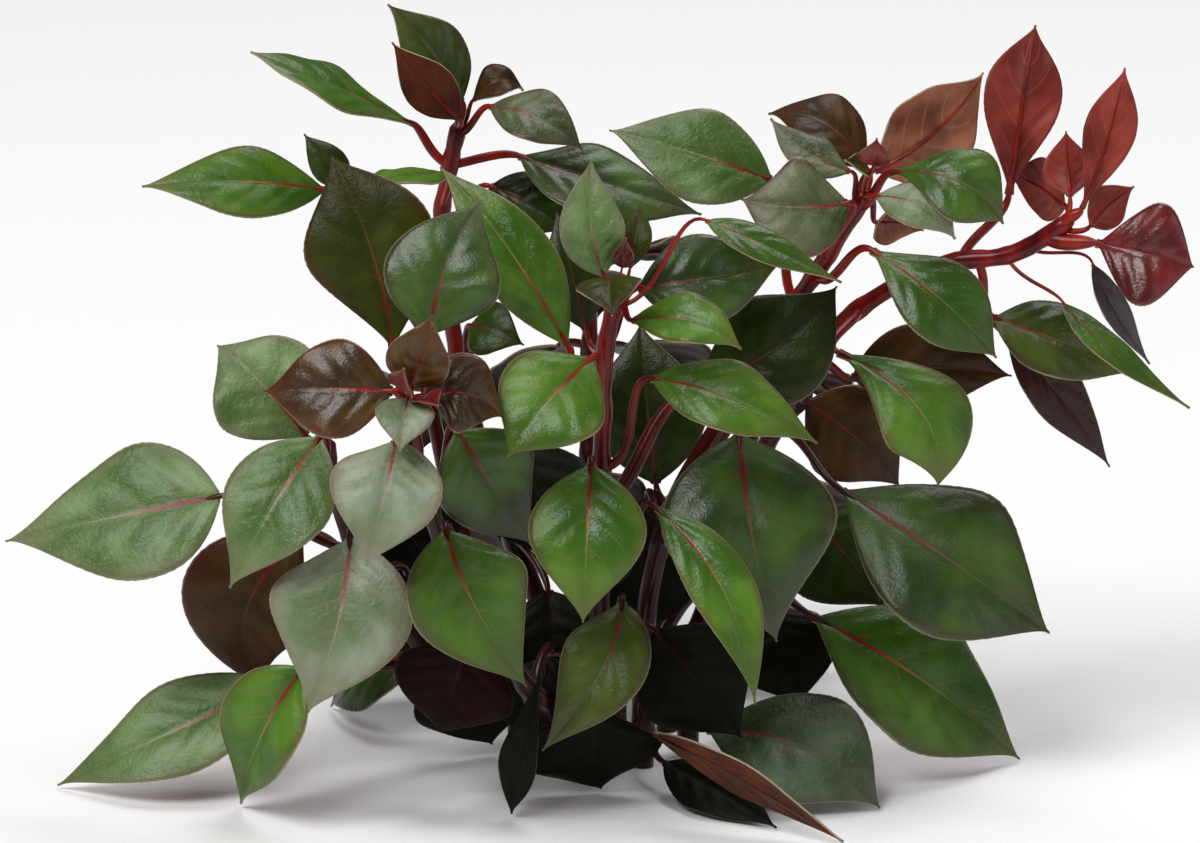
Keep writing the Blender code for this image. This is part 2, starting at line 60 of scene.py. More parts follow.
# Stems: their thickness, their swollen joints, and the heights between which the red skin darkens, nearly to black,
# towards the bottom
STEM_RADIUS_LOW = 1.7 * MM
STEM_RADIUS_TOP = 1.1 * MM
STEM_END_SHARE = 0.5
STEM_RINGS = 90
STEM_BEVEL, STALK_BEVEL = 6, 2
JOINT_SWELLING = 0.22
JOINT_LENGTH = 1.6 * MM
UPRIGHT_FOOT = 5 * MM
DARKEST_BELOW, DARK_FADES_BY = 40 * MM, 78 * MM
LOW_STEM_COLOUR = "#1c0603"

# Leaves: the grid of a blade, its outline and its relief. Below FULL_WIDTH, in mm, a leaf's stalk, midrib and relief
# shrink with it, and a joined leaf wider than FINE_WIDTH, in mm, gets the fine grid.
BLADE_ROWS, BLADE_COLUMNS = 56, 20
YOUNG_ROWS, YOUNG_COLUMNS = 30, 12
FULL_WIDTH = 12
FINE_WIDTH = 9
WIDEST_AT = 0.43
BLADE_THICKNESS = 0.32 * MM
STALK_RADIUS = 0.72 * MM
RIB_RADIUS_NECK = 0.44 * MM
RIB_RADIUS_TIP = 0.08 * MM
RIB_END = 0.95
STALK_RISE = 0.45
STALK_RINGS, RIB_RINGS = 16, 24
THINNEST_HALF = 0.15 * MM
VEINS = 5.5
VEIN_SWEEP = 0.3
VEIN_CURVE = 1.25
PUFF = 0.34 * MM
GROOVE = 0.18 * MM
GROOVE_WIDTH = 0.55 * MM
TOOTH = 0.005
TEETH = 23
EDGE_DROOP = 0.16
EDGE_WAVES = (1.6, 2.6)
WAVE_HEIGHT_SHARES = (0.02, 0.04)
TWIST = 9
DRY_EDGE = "#a49a80"
MATTE_UNDERSIDE = 0.45

# Studio: each lamp's place and size in metres and its power in watts, the paper floor and the light of the room
LAMPS = {
    "key": ((-1.1, -1.4, 2.2), (1.5, 1.2), 60),
    "top": ((0.6, 0.8, 2.4), (1.6, 1.2), 34),
    "fill": ((1.8, -1.4, 0.9), (1.2, 1.2), 6),
}
PAPER_SIZE, PAPER_WHITE = 6, 0.9
ROOM_STRENGTH = 0.14

Leaf = namedtuple("Leaf", "at neck tip width face arch fold kind via wide stout")


def leaf(
    at, neck, tip, width, face=(0, -0.85, 0.5), arch=2.5, fold=10, kind="green", via=None, wide=WIDEST_AT, stout=1
):
    """at is the share of the stem below the leaf, neck is where the stalk widens into the blade, and a place is
    picture column, picture row and mm behind the middle. width and arch (towards face) are mm, via is the picture
    column and row that the midrib's middle passes, and wide is the share of the blade's length at which it is
    widest; fold lifts both halves, in degrees, and stout makes the stalk broader."""
    return Leaf(at, neck, tip, width, face, arch, fold, kind, via, wide, stout)


# Each stem: where it is cut on the surface, in millimetres, and the places it passes on its way up
STEMS = {
    "left": ((-12, 2), [(462, 690, -3), (395, 610, -12), (350, 535, -21), (331, 475, -25), (326, 440, -27)]),
    "front_left": ((-7, -5), [(530, 690, -19), (468, 600, -31), (434, 520, -38), (414, 450, -43), (408, 396, -47)]),
    "centre": ((0, -4), [(599, 650, -14), (601, 540, -25), (602, 440, -28), (606, 345, -31), (619, 288, -32)]),
    "top_left": (
        (-5, 8),
        [(545, 620, 13), (490, 480, 18), (455, 340, 21), (441, 230, 22), (450, 165, 21), (460, 122, 20)],
    ),
    "right": (
        (7, -3),
        [(648, 600, -6), (676, 500, -5), (722, 420, -4), (785, 318, -8), (826, 258, -13), (868, 190, -17)],
    ),
    "far_right": (
        (14, 3),
        [
            (680, 690, 4),
            (712, 590, 7),
            (752, 480, 9),
            (800, 378, 7),
            (850, 316, 3),
            (940, 265, -2),
            (1012, 254, -5),
            (1072, 220, -8),
        ],
    ),
    "back": ((3, 13), [(598, 640, 22), (592, 520, 28), (588, 420, 33), (590, 330, 35), (590, 262, 36)]),
    "back_left": ((-11, 15), [(520, 660, 25), (478, 580, 32), (452, 500, 38), (436, 430, 41), (428, 385, 42)]),
    "back_right": ((11, 14), [(655, 650, 23), (700, 570, 30), (735, 490, 36), (756, 420, 38), (768, 360, 38)]),
}

# Grown leaves, stem by stem
LEAVES = {
    "left": [
        leaf(0.97, (320, 437, -33), (229, 588, -41), 16.5, (-0.25, -0.9, 0.35), 3, 10, "painted_sheen", (272, 508)),
        leaf(0.97, (306, 436, -21), (217, 345, -16), 17.5, (-0.1, -0.85, 0.5), 2, 10, "painted_sheen", (259, 381)),
        leaf(0.72, (220, 496, -24), (5, 541, -18), 21.5, (-0.05, -0.8, 0.6), 1.5, 8, "painted_sheen", (114, 517), 0.36),
        leaf(0.72, (350, 538, -36), (308, 713, -42), 21, (-0.05, -0.87, 0.45), 3, 8, "pale_sheen", (338, 622)),
        leaf(0.58, (303, 538, -7), (264, 690, -5), 22, (-0.3, -0.9, 0.1), 2, 6, "bronze", (246, 612), 0.45),
        leaf(0.36, (275, 684, -13), (57, 785, FLOOR), 15.4, (-0.1, -0.75, 0.65), 4, 10, "painted_sheen", (160, 737), 0.38),
        leaf(0.47, (303, 668, -30), (240, 804, FLOOR), 16.5, (-0.5, -0.8, 0.3), 3, 22, "bright", (261, 736), 0.4),
        leaf(0.2, (430, 650, 12), (330, 706, FLOOR), 15, (-0.2, -0.6, 0.75), 3, 10, "dark"),
    ],
    "front_left": [
        leaf(0.9, (430, 335, -43), (482, 200, -36), 17, (-0.05, -0.95, 0.3), 3, 8, "deep", (446, 266)),
        leaf(0.9, (396, 440, -50), (366, 566, -56), 16.5, (-0.1, -0.85, 0.5), 3, 12, "pale_sheen", (384, 497)),
        leaf(0.77, (457, 430, -38), (532, 545, -33), 16, (0.15, -0.87, 0.45), 3, 8, "deep", (492, 484)),
        leaf(0.77, (393, 350, -35), (331, 156, -29), 19, (0, -1, 0), 2, 6, "olive", (372, 252), 0.55),
        leaf(0.6, (446, 530, -45), (527, 687, -49), 18, (0.1, -0.87, 0.48), 3, 8, "green", (474, 604)),
        leaf(0.3, (470, 640, -22), (440, 733, -18), 19, (-0.1, -0.95, 0.2), 2, 8, "maroon"),
    ],
    "centre": [
        leaf(0.9, (638, 288, -25), (781, 264, -19), 14, (0.1, -0.85, 0.5), 3, 8, "deep", (711, 277)),
        leaf(0.97, (706, 220, -33), (842, 282, -35), 6, (0.2, -0.7, 0.7), 2, 10, "green", (767, 246)),
        leaf(0.78, (567, 345, -29), (440, 167, -20), 11.5, (0.1, -0.9, 0.4), 2, 10, "bright", (508, 248)),
        leaf(0.78, (591, 358, -38), (507, 457, -47), 16.5, (-0.1, -0.87, 0.48), 2, 6, "bright", (546, 404)),
        leaf(0.68, (652, 378, -33), (818, 443, -39), 11.5, (0.1, -0.75, 0.65), 3, 10, "bright", (735, 399)),
        leaf(0.6, (690, 392, -17), (837, 286, -15), 17, (0.1, -0.88, 0.45), 3, 6, "dark", (774, 349), 0.5, 1.6),
        leaf(0.58, (591, 464, -36), (583, 623, -45), 17, (0, -0.87, 0.5), 3, 8, "bright"),
        leaf(0.45, (657, 508, -34), (755, 705, -45), 9.6, (0.2, -0.87, 0.4), 3, 10, "bright", (727, 597)),
        leaf(0.33, (622, 602, -29), (542, 751, -37), 13, (-0.1, -0.92, 0.35), 3, 12, "olive green", (600, 672)),
        leaf(0.26, (543, 668, -28), (511, 814, FLOOR), 6.4, (-0.4, -0.9, 0.1), 2, 14, "painted_shade", (521, 750), 0.6),
        leaf(0.28, (655, 630, -18), (742, 738, -23), 18.5, (0.1, -0.95, 0.2), 2, 6, "painted_shade"),
        leaf(0.19, (592, 704, -18), (601, 789, FLOOR), 21, (0, -0.95, 0.3), 1, 4, "painted_shade", (594, 752), 0.52),
    ],
    "top_left": [
        leaf(0.93, (412, 123, 20), (251, 51, 10), 12, (0.1, -0.35, 0.9), 3, 10, "bright", (333, 85), 0.52),
        leaf(0.93, (520, 156, 22), (702, 214, 22), 14, (0.1, -0.6, 0.75), 4, 8, "deep", (608, 184)),
        leaf(0.72, (325, 190, 10), (142, 186, 4), 12.8, (0, -0.7, 0.7), 2, 8, "bright", (241, 181), 0.45),
        leaf(0.72, (490, 186, 28), (572, 232, 26), 11, (0.1, -0.8, 0.5), 2, 10, "dark"),
    ],
    "right": [
        leaf(0.96, (874, 170, -10), (982, 73, -2), 14.5, (-0.1, 0.95, 0.25), 2, 6, "bronze", (937, 129)),
        leaf(0.88, (849, 203, -21), (741, 199, -23), 15, (-0.1, -0.88, 0.45), 3, 8, "olive silver", (793, 207)),
        leaf(0.78, (772, 180, -7), (609, 130, -6), 14.6, (0, -0.85, 0.5), 2, 8, "painted_sheen", (694, 153)),
        leaf(0.84, (872, 250, -21), (997, 358, -27), 13, (0.1, -0.8, 0.6), 3, 8, "green", (942, 300), 0.52),
        leaf(0.36, (739, 434, -22), (777, 642, -33), 26, (0.05, -0.87, 0.48), 4, 8, "deep", (752, 534)),
        leaf(0.05, (664, 762, -14), (776, 827, FLOOR), 10, (0.1, -0.75, 0.65), 1, 10, "painted_shade"),
        leaf(0.14, (654, 733, -26), (844, 841, FLOOR), 7, (0.1, 0.85, 0.5), 2, 8, "rust", (748, 782)),
    ],
    "far_right": [
        leaf(0.84, (1009, 194, 3), (1035, 26, 9), 12, (0.05, 0.9, 0.3), 2, 10, "red", (1022, 103), 0.55),
        leaf(0.9, (1063, 302, -12), (1190, 408, -18), 5, (0.3, -0.7, 0.6), 2, 12, "green", (1111, 349)),
        leaf(0.93, (1093, 264, -3), (1150, 364, 0), 4.6, (0.3, -0.9, 0.2), 2, 20, "plum", (1117, 313)),
        leaf(0.86, (994, 317, -1), (1143, 373, 3), 12.5, (0.1, -0.75, 0.6), 3, 8, "olive green", (1063, 342)),
        leaf(0.78, (1008, 338, 10), (1110, 467, 14), 9, (0.2, -0.85, 0.4), 2, 8, "russet", (1062, 398)),
        leaf(0.58, (852, 378, 8), (1012, 376, 10), 14, (0, -0.9, 0.2), 2, 8, "bronze", (930, 368)),
        leaf(0.68, (838, 352, -9), (938, 487, -17), 15, (0.1, -0.8, 0.6), 3, 8, "bright", (921, 411), 0.56),
        leaf(0.5, (806, 402, 16), (900, 487, 20), 16, (0.1, -0.9, 0.2), 2, 6, "bronze", (858, 440)),
        leaf(0.47, (842, 490, -4), (1050, 633, -12), 25, (0.15, -0.8, 0.55), 4, 8, "deep", (950, 560), 0.5),
        leaf(0.4, (806, 510, 10), (888, 608, 6), 19, (0.1, -0.9, 0.3), 2, 8, "dark"),
        leaf(0.28, (814, 617, -8), (1020, 759, FLOOR), 22.5, (0.15, -0.75, 0.65), 4, 8, "green", (924, 681), 0.48),
        leaf(
            0.16, (708, 730, -9), (880, 808, FLOOR), 20, (0.15, -0.75, 0.65), 4, 10, "deep silver", (806, 748), 0.47
        ),
    ],
}

# Leaves that grow out of their stem: the young ones round its tip, and those of the inside and the back
JOINED = {
    "left": [
        leaf(0.99, (330, 430, -26), (352, 398, -22), 5, kind="olive"),
        leaf(0.6, (408, 575, -8), (424, 660, -3), 15, (0.1, -0.9, 0.3), 2, kind="maroon"),
        leaf(0.75, (386, 478, 2), (424, 590, 8), 19, (0, -0.95, 0.3), 2, kind="painted_shade"),
        leaf(0.3, (462, 650, 0), (492, 745, 2), 20, (0, -0.95, 0.3), 2, kind="painted_shade"),
    ],
    "front_left": [
        leaf(0.25, (550, 655, -5), (534, 752, -6), 15, (0, -0.95, 0.3), 2, kind="painted_shade"),
        leaf(0.99, (393, 391, -48), (264, 391, -44), 14.5, (-0.1, -0.9, 0.4), 2, 10, "brown", None, 0.42),
        leaf(0.99, (427, 396, -48), (504, 418, -46), 12, (0.1, -0.85, 0.5), 2, 10, "brown", (468, 394)),
        leaf(0.99, (411, 388, -50), (432, 315, -52), 9.4, (0, -0.95, 0.3), 1.5, 16, "brown"),
        leaf(0.99, (408, 398, -51), (400, 452, -58), 8.6, (0, -0.85, 0.5), 1.5, 16, "pale_sheen"),
        leaf(0.99, (407, 391, -52), (403, 369, -58), 5, (-0.3, -0.9, 0.3), 0.6, 24, "red"),
        leaf(0.98, (420, 400, -50), (438, 405, -57), 5, (0.2, -0.8, 0.5), 0.6, 24, "red"),
    ],
    "centre": [
        leaf(0.99, (604, 276, -33), (592, 157, -30), 9.6, (0.1, -0.95, 0.3), 1.5, 14, "painted_sheen", (591, 222)),
        leaf(0.99, (632, 320, -35), (742, 349, -42), 8.6, (0.1, -0.75, 0.65), 2, 16, "bright", (693, 321)),
        leaf(0.99, (609, 279, -36), (612, 315, -46), 9.6, (-0.1, -0.6, 0.8), 1.5, 14, "olive"),
        leaf(0.99, (630, 268, -31), (641, 204, -26), 5, (0, -0.9, 0.4), 1, 14, "olive"),
        leaf(0.99, (622, 268, -33), (626, 238, -35), 3.5, (0, -0.9, 0.4), 0.5, 24, "red"),
        leaf(0.85, (586, 330, -14), (556, 212, -10), 9, (0, -0.95, 0.3), 2, kind="dark"),
    ],
    "top_left": [
        leaf(0.99, (462, 102, 18), (388, 4, 16), 11.5, (0.3, -0.8, 0.5), 1.5, 14, "olive green", (432, 52)),
        leaf(0.98, (490, 106, 17), (583, 150, 12), 10, (0.15, -0.7, 0.7), 2, 12, "olive silver", (540, 118)),
        leaf(0.99, (473, 100, 20), (524, 90, 22), 6.5, (0.1, -0.6, 0.8), 2, 20, "bronze", (501, 80)),
        leaf(0.86, (446, 172, 14), (350, 182, 2), 8, (-0.1, -0.25, 0.95), 3, 10, "bright", (404, 176)),
        leaf(0.58, (470, 325, 14), (524, 345, 8), 9, (0.1, -0.9, 0.4), 2, kind="dark"),
        leaf(0.32, (548, 590, 6), (560, 706, 2), 19, (0.05, -0.9, 0.3), 2, kind="painted_shade"),
        leaf(0.99, (458, 118, 15), (392, 42, 10), 8, (-0.2, 0.9, 0.3), 1, 10, "rust", (426, 84)),
        leaf(0.62, (350, 188, 27), (304, 134, 29), 6, (-0.2, -0.9, 0.3), 1, kind="dark"),
        leaf(0.48, (520, 440, 14), (560, 566, 10), 19, (0, -0.95, 0.3), 2, kind="painted_shade"),
    ],
    "right": [
        leaf(0.37, (647, 498, 4), (636, 640, 6), 20, (0, -0.9, 0.4), 3, kind="painted_shade"),
        leaf(0.4, (656, 484, 4), (640, 322, 10), 18, (-0.1, -0.9, 0.4), 2, kind="dark"),
        leaf(0.99, (866, 168, -12), (768, 113, -8), 13, (0.1, -0.5, 0.85), 2, 10, "bronze", (824, 122)),
        leaf(0.99, (876, 196, -22), (956, 239, -28), 8.5, (0.1, -0.75, 0.65), 2, 12, "pale_sheen", (922, 206)),
        leaf(0.99, (876, 222, -12), (923, 230, -6), 8, (0, 0.9, 0.2), 1, 8, "bronze"),
        leaf(0.97, (892, 172, -20), (1004, 224, -24), 12.5, (0.05, -0.75, 0.65), 4, 8, "green", (960, 181), 0.56),
        leaf(0.99, (868, 172, -19), (846, 160, -24), 4, (0, -0.8, 0.6), 0.5, 24, "olive"),
        leaf(0.99, (873, 166, -22), (877, 138, -24), 5, (0, -0.8, 0.6), 1, 16, "red"),
        leaf(0.97, (850, 171, -18), (771, 118, -14), 7, (0.1, -0.7, 0.7), 1.5, 12, "olive silver", (806, 151)),
    ],
    "far_right": [
        leaf(0.99, (1082, 208, -9), (1125, 68, -6), 7.8, (0.2, 0.85, 0.4), 1, 10, "red", (1107, 141), 0.58, 2.2),
        leaf(0.96, (1096, 243, -10), (1194, 267, -14), 16, (0.1, -0.93, 0.3), 1.5, 14, "red", (1146, 254), 0.55, 1.8),
        leaf(0.97, (1066, 206, 1), (1008, 172, 10), 10.5, (0, 0.9, 0.3), 1, 10, "red"),
        leaf(0.99, (1070, 197, -4), (1066, 131, -1), 7.5, (0, 0.9, 0.3), 1, 10, "red"),
        leaf(0.98, (1090, 226, -8), (1134, 186, -5), 7.5, (0.2, 0.85, 0.4), 1, 10, "red"),
        leaf(0.3, (770, 610, 12), (800, 706, 8), 18, (0.1, -0.9, 0.4), 2, kind="painted_shade"),
    ],
    "back": [
        leaf(0.99, (570, 262, 38), (480, 262, 46), 14, (-0.1, 0.5, 0.85), 2, 12, "olive"),
        leaf(0.99, (612, 262, 38), (700, 262, 46), 14, (0.1, 0.5, 0.85), 2, 12, "olive"),
        leaf(0.99, (590, 272, 42), (596, 320, 56), 14, (0, 0.7, 0.7), 2, 12, "brown"),
        leaf(0.82, (560, 344, 40), (508, 424, 54), 14, (-0.3, 0.65, 0.7), 3),
        leaf(0.82, (622, 344, 40), (712, 400, 53), 17, (0.3, 0.65, 0.7), 3, 10, "bright"),
        leaf(0.6, (592, 470, 41), (600, 560, 55), 17, (0, 0.7, 0.7), 3, 10, "painted_sheen"),
        leaf(0.3, (600, 610, 33), (602, 672, FLOOR), 18, (0, 0.7, 0.7), 3, kind="deep"),
    ],
    "back_left": [
        leaf(0.99, (410, 386, 44), (335, 392, 50), 14, (-0.3, 0.55, 0.75), 2, 12, "painted_sheen"),
        leaf(0.99, (450, 382, 44), (502, 342, 50), 11, (0.2, 0.6, 0.75), 2, 12, "olive"),
        leaf(0.99, (430, 400, 47), (420, 452, 58.5), 14, (0, 0.7, 0.7), 2, 12, "brown"),
        leaf(0.7, (425, 500, 40), (345, 560, 49), 17, (-0.4, 0.6, 0.7), 3, 10, "green"),
        leaf(0.7, (470, 512, 42), (520, 590, 55), 17, (0.2, 0.7, 0.7), 3, 10, "painted_sheen"),
        leaf(0.4, (450, 620, 34), (378, 670, FLOOR), 17, (-0.3, 0.6, 0.7), 3, kind="deep"),
    ],
    "back_right": [
        leaf(0.99, (788, 368, 41), (846, 416, 51), 13, (0.3, 0.6, 0.75), 2, 12, "bright"),
        leaf(0.99, (748, 356, 40), (690, 332, 47), 12, (-0.2, 0.6, 0.75), 2, 12, "olive"),
        leaf(0.99, (768, 378, 43), (776, 440, 57.5), 14, (0, 0.7, 0.7), 2, 12, "painted_sheen"),
        leaf(0.7, (770, 480, 40), (848, 540, 49), 17, (0.4, 0.6, 0.7), 3, 10, "green"),
        leaf(0.7, (722, 482, 41), (690, 570, 54), 16, (-0.2, 0.7, 0.7), 3, 10, "deep"),
        leaf(0.4, (735, 600, 32), (812, 670, FLOOR), 17, (0.3, 0.6, 0.7), 3, kind="deep"),
    ],
}


def place(column, row, depth):
    """The point that the front view shows at a column and row, either on the floor or depth mm behind the middle."""
    across = (column - VIEW_COLUMNS / 2) * PIXEL
    up = (VIEW_ROWS / 2 - row) * PIXEL
    ray = Vector((across, 0, 0)) + VIEW_UP * up - VIEW_BACK * VIEW_DISTANCE
    if depth == FLOOR:
        return EYE + ray * ((TIP_ABOVE_FLOOR - EYE.z) / ray.z)
    return EYE + ray * ((depth * MM - EYE.y) / ray.y)


def stem_path(name):
    """The points that a stem passes, from its cut end to its tip."""
    (x, y), places = STEMS[name]
    foot = Vector((x, y, 0)) * MM
    return [foot, foot + Vector((0, 0, UPRIGHT_FOOT))] + [place(*p) for p in places]


def along(knots, share):
    """The point and direction at a share of a smooth curve through the knots, which leaves the floor upright."""
    lengths = [0]
    for a, b in zip(knots, knots[1:]):
        lengths.append(lengths[-1] + (b - a).length)
    target = min(max(share, 0), 1) * lengths[-1]
    i = max(k for k in range(len(knots) - 1) if lengths[k] <= target)
    span = lengths[i + 1] - lengths[i]
    t = (target - lengths[i]) / span

    def slope(k):
        if k < 2:
            return Vector((0, 0, 1))
        if k == len(knots) - 1:
            return (knots[k] - knots[k - 1]) / (lengths[k] - lengths[k - 1])
        return (knots[k + 1] - knots[k - 1]) / (lengths[k + 1] - lengths[k - 1])

    a, b, u, v = knots[i], knots[i + 1], slope(i) * span, slope(i + 1) * span
    point = a * (2 * t**3 - 3 * t**2 + 1) + u * (t**3 - 2 * t**2 + t) + b * (3 * t**2 - 2 * t**3) + v * (t**3 - t**2)
    way = a * (6 * t**2 - 6 * t) + u * (3 * t**2 - 4 * t + 1) + b * (6 * t - 6 * t**2) + v * (3 * t**2 - 2 * t)
    return point, way.normalized()


def bend(a, b, c, d, s):
    """The point and direction at a share s of the curve that leaves a towards b and comes to d from c."""
    point = a * (1 - s) ** 3 + b * (3 * s * (1 - s) ** 2) + c * (3 * s**2 * (1 - s)) + d * s**3
    way = (b - a) * (1 - s) ** 2 + (c - b) * (2 * s * (1 - s)) + (d - c) * s**2
    return point, way.normalized()


def stem_radius(share):
    """The stem's radius at a share of its length."""
    return STEM_RADIUS_LOW + (STEM_RADIUS_TOP - STEM_RADIUS_LOW) * share


def outline(s, wide):
    """The blade's width at a share of its length: a wedge at the neck and a drawn-out tip."""
    if not 0 < s < 1:
        return 0
    power = math.log(0.5) / math.log(wide)
    return math.sin(math.pi * s**power) ** (1.05 + 0.3 * s * s)


def blade_controls(spec):
    """The four points that steer a blade's midrib, and the way its upper side looks."""
    neck, tip = place(*spec.neck), place(*spec.tip)
    chord = tip - neck
    face = Vector(spec.face).normalized()
    face = (face - chord * face.dot(chord) / chord.length_squared).normalized()
    middle = (neck + tip) / 2
    if spec.via:
        passed = place(*spec.via, middle.y / MM - spec.arch)
    else:
        passed = middle + face * spec.arch * MM
    corner = passed * 2 - middle
    return neck, neck.lerp(corner, 2 / 3), tip.lerp(corner, 2 / 3), tip, face


def blade_frame(controls, twist, s):
    """The midrib's point at s, and the blade's left and upper side there; twist turns the tip, in degrees."""
    neck, first, second, tip, face = controls
    centre, tangent = bend(neck, first, second, tip, s)
    turn = math.radians(twist) * (s - 0.25)
    left = face.cross(tangent).normalized()
    up = tangent.cross(left)
    return centre, left * math.cos(turn) + up * math.sin(turn), up * math.cos(turn) - left * math.sin(turn)


def stalk_points(knots, spec, controls, joined):
    """The stalk's centre line, from inside its stem to the neck."""
    axis, way = along(knots, spec.at)
    neck, first = controls[0], controls[1]
    out = neck - axis
    out = (out - way * out.dot(way)).normalized()
    start = axis if joined else axis + out * stem_radius(spec.at) * 0.5
    surface = axis if joined else axis + out * stem_radius(spec.at)
    reach = (neck - surface).length / 3
    leaving = surface + (out + way * STALK_RISE) * reach
    arriving = neck - (first - neck).normalized() * reach
    return [bend(start, leaving, arriving, neck, k / STALK_RINGS)[0] for k in range(STALK_RINGS)]


def deselect():
    """Leaves no object selected."""
    for item in bpy.context.selected_objects:
        item.select_set(False)


def take(item):
    """Makes one object the selected and active one."""
    deselect()
    item.select_set(True)
    bpy.context.view_layer.objects.active = item


def blank_blade(name, rows, columns):
    """A flat blade, modelled once and copied: x runs from 0 at the neck to 1 at the tip, y from -1 to 1 across."""
    deselect()
    bpy.ops.mesh.primitive_grid_add(x_subdivisions=rows, y_subdivisions=columns, size=2, location=(1, 0, 0))
    blank = bpy.context.object
    blank.name = name
    bpy.ops.transform.resize(value=(0.5, 1, 1), center_override=(0, 0, 0))
    bpy.ops.object.transform_apply(location=True, rotation=True, scale=True)
    blank.hide_render = True
    return blank


def vein_place(s, across):
    """Counts up by one from each side vein to the next; a whole number is on a vein."""
    return (s - VEIN_SWEEP * abs(across) ** VEIN_CURVE) * VEINS


def tube(name, points, radii, bevel):
    """A closed round tube through the points; bevel is how finely it is rounded."""
    curve = bpy.data.curves.new(name, "CURVE")
    curve.dimensions = "3D"
    curve.bevel_depth = 1
    curve.bevel_resolution = bevel
    curve.use_fill_caps = True
    spline = curve.splines.new("POLY")
    spline.points.add(len(points) - 1)
    for knot, point, radius in zip(spline.points, points, radii):
        knot.co = (*point, 1)
        knot.radius = radius
    item = bpy.data.objects.new(name, curve)
    bpy.context.scene.collection.objects.link(item)
    take(item)
    bpy.ops.object.convert(target="MESH")
    item = bpy.context.object
    bpy.ops.object.mode_set(mode="EDIT")
    bpy.ops.mesh.select_all(action="SELECT")
    bpy.ops.mesh.remove_doubles(threshold=0.000005)
    bpy.ops.mesh.normals_make_consistent(inside=False)
    bpy.ops.object.mode_set(mode="OBJECT")
    bpy.ops.object.shade_smooth()
    return item


def shaped_blade(name, blank, spec, controls, twist, chance):
    """A copy of the flat blade laid along its midrib, with its folds, waves, veins and thickness."""
    waves = chance.uniform(*EDGE_WAVES)
    phases = (chance.uniform(0, 6.28), chance.uniform(0, 6.28))
    wave_height = spec.width * MM * chance.uniform(*WAVE_HEIGHT_SHARES)
    half_width = spec.width * MM / 2
    size = min(1, spec.width / FULL_WIDTH)
    lift = math.radians(spec.fold)
    blade = bpy.data.objects.new(name, blank.data.copy())
    bpy.context.scene.collection.objects.link(blade)
    frames = {}
    for vertex in blade.data.vertices:
        s, v = vertex.co.x, vertex.co.y
        if s not in frames:
            frames[s] = blade_frame(controls, twist, s)
        centre, left, up = frames[s]
        side = 0 if v > 0 else 1
        width = outline(s, spec.wide)
        tooth = 1 + TOOTH * math.sin(TEETH * math.tau * s + phases[side]) * (abs(v) > 0.99)
        half = max(half_width * width * tooth, STALK_RADIUS * size * (1 - 3 * s), THINNEST_HALF)
        y = v * half
        # The fold lifts both halves, the edge droops and waves, the midrib lies in a groove, and the skin puffs up
        # between the side veins
        height = abs(y) * math.sin(lift) - EDGE_DROOP * v * v * half
        height += wave_height * abs(v) ** 2.2 * math.sin(math.tau * waves * s + phases[side]) * width
        height -= GROOVE * size * math.exp(-((y / GROOVE_WIDTH) ** 2)) * (1 - 0.7 * s)
        puff = abs(math.sin(math.pi * vein_place(s, v))) * math.sin(math.pi * abs(v) ** 0.8) * width
        height += PUFF * size * puff * (1.3 - 0.8 * s)
        vertex.co = centre + left * (y * math.cos(lift)) + up * height
    shell = blade.modifiers.new("Blade thickness", "SOLIDIFY")
    shell.thickness = BLADE_THICKNESS
    shell.offset = -1
    shell.material_offset = 1
    shell.material_offset_rim = 2
    take(blade)
    upper, under, rim = LOOKS[spec.kind]
    # Leaves of the back stems take the painted-shade underside
    for look in (upper, SHADE_UNDERSIDE if name.startswith("back") else under, rim):
        blade.data.materials.append(look)
    bpy.ops.object.modifier_apply(modifier=shell.name)
    bpy.ops.object.shade_smooth()
    return blade


def grown_leaf(name, blank, knots, spec, joined=False):
    """A blade on its stalk, whose round body runs on under the blade as the midrib."""
    controls = blade_controls(spec)
    chance = random.Random(name)
    twist = chance.uniform(-TWIST, TWIST)
    size = min(1, spec.width / FULL_WIDTH)
    points = stalk_points(knots, spec, controls, joined)
    low = STALK_RADIUS * spec.stout
    radii = [size * (low + (RIB_RADIUS_NECK - low) * (k / STALK_RINGS) ** 4) for k in range(STALK_RINGS)]
    for k in range(RIB_RINGS):
        s = RIB_END * k / (RIB_RINGS - 1)
        centre, _, up = blade_frame(controls, twist, s)
        radius = size * (RIB_RADIUS_NECK + (RIB_RADIUS_TIP - RIB_RADIUS_NECK) * s)
        depth = GROOVE * size * (1 - 0.7 * s) + BLADE_THICKNESS * 0.6 + radius * 0.8
        points.append(centre - up * min(1, s / 0.1) * depth)
        radii.append(radius)
    stalk = tube(name + "_stalk", points, radii, STALK_BEVEL)
    stalk.data.materials.append(STALK_LOOK)
    blade = shaped_blade(name, blank, spec, controls, twist, chance)
    take(blade)
    stalk.select_set(True)
    bpy.ops.object.join()
    return blade


def stem(name, knots, leaf_shares):
    """A stem's tube, which swells a little at each joint where leaves grow."""
    shares = [k / (STEM_RINGS - 1) for k in range(STEM_RINGS)]
    length = sum((b - a).length for a, b in zip(knots, knots[1:]))
    points, radii = [], []
    for share in shares:
        swelling = sum(math.exp(-(((share - at) * length / JOINT_LENGTH) ** 2)) for at in leaf_shares)
        points.append(along(knots, share)[0])
        radii.append(stem_radius(share) * (1 + JOINT_SWELLING * min(1, swelling)))
    radii[-1] *= STEM_END_SHARE
    item = tube("stem_" + name, points, radii, STEM_BEVEL)
    item.name = name + "_stem"
    item.data.materials.append(STEM_LOOK)
    return item


def linear(code):
    """The linear colour of an sRGB hex value."""
    values = [int(code[i : i + 2], 16) / 255 for i in (1, 3, 5)]
    return [v / 12.92 if v <= 0.04045 else ((v + 0.055) / 1.055) ** 2.4 for v in values] + [1]


